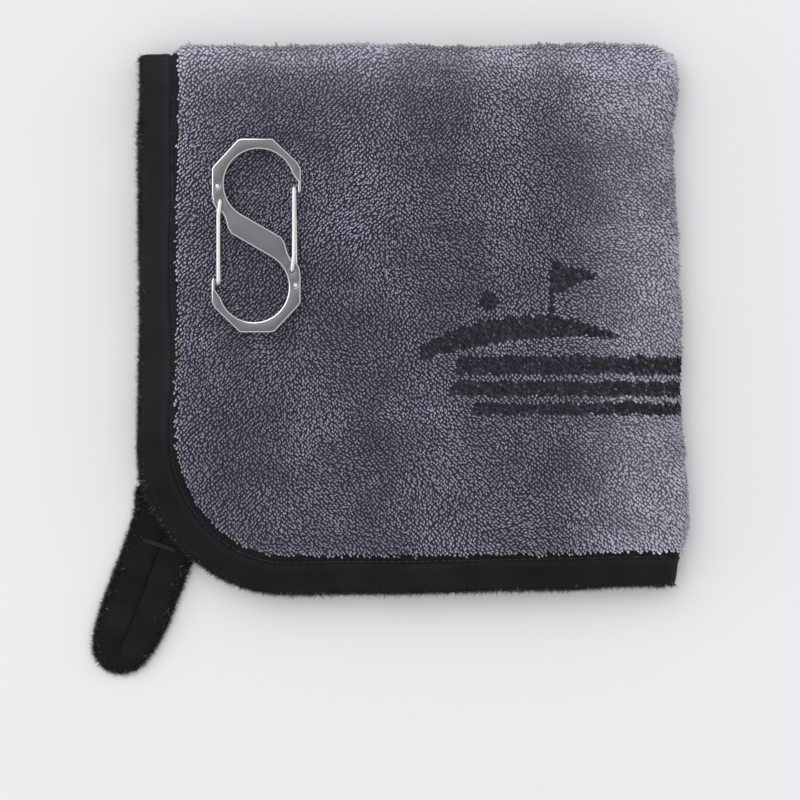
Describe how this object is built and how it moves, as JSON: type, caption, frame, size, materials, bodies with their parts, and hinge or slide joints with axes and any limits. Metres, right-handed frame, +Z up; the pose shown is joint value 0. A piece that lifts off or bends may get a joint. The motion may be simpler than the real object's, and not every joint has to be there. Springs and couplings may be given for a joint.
{
  "type": "golf towel",
  "caption": "Pile golf towel with a bound edge, folded in quarters, with a hanging loop at its corner and a steel double-gate S carabiner lying on it.",
  "frame": {"origin": "middle of the whole object's underside, on the surface it lies on", "axes": "+Z up from the surface, +Y from the bound bottom edge towards the top fold, +X from the bound left edge towards the right fold"},
  "size_m": [0.2178, 0.2306, 0.0197],
  "materials": {
    "pile_cloth": "matte looped pile, slate grey",
    "knit_tape": "matte brushed knit, black",
    "sewing_thread": "dull polyester thread, black",
    "satin_steel": "fine bead-blasted faces with polished edges",
    "polished_wire": "bright drawn wire"
  },
  "bodies": {
    "towel": {"towel_cloth": "pile_cloth", "edge_binding": "knit_tape", "seam_needle_thread": "sewing_thread", "seam_bobbin_thread": "sewing_thread", "loop_root": "knit_tape", "loop_bar_tack": "sewing_thread"},
    "hanging_loop": {"hanging_loop": "knit_tape"},
    "carabiner": {"carabiner_frame": "satin_steel", "lower_gate_root": "polished_wire", "upper_gate_root": "polished_wire"},
    "lower_gate": {"lower_gate": "polished_wire"},
    "upper_gate": {"upper_gate": "polished_wire"}
  },
  "joints": [
    {"name": "loop_swing", "type": "hinge", "parent": "towel", "child": "hanging_loop", "pos_m": [-0.0854, -0.07146, 0.003], "axis": [-0.9444, 0.3289, 0], "range_deg": [0, 90]},
    {"name": "carabiner_lift", "type": "slide", "parent": "towel", "child": "carabiner", "axis": [0, 0, 1], "range_m": [0, 0.04]},
    {"name": "lower_gate_open", "type": "hinge", "parent": "carabiner", "child": "lower_gate", "pos_m": [-0.06107, 0.05727, 0.0166], "axis": [0, 0, 1], "range_deg": [0, 35], "stiffness_Nm_per_rad": 0.1, "springref_deg": -8.59},
    {"name": "upper_gate_open", "type": "hinge", "parent": "carabiner", "child": "upper_gate", "pos_m": [-0.03487, 0.03147, 0.0166], "axis": [0, 0, 1], "range_deg": [0, 35], "stiffness_Nm_per_rad": 0.1, "springref_deg": -8.59}
  ]
}
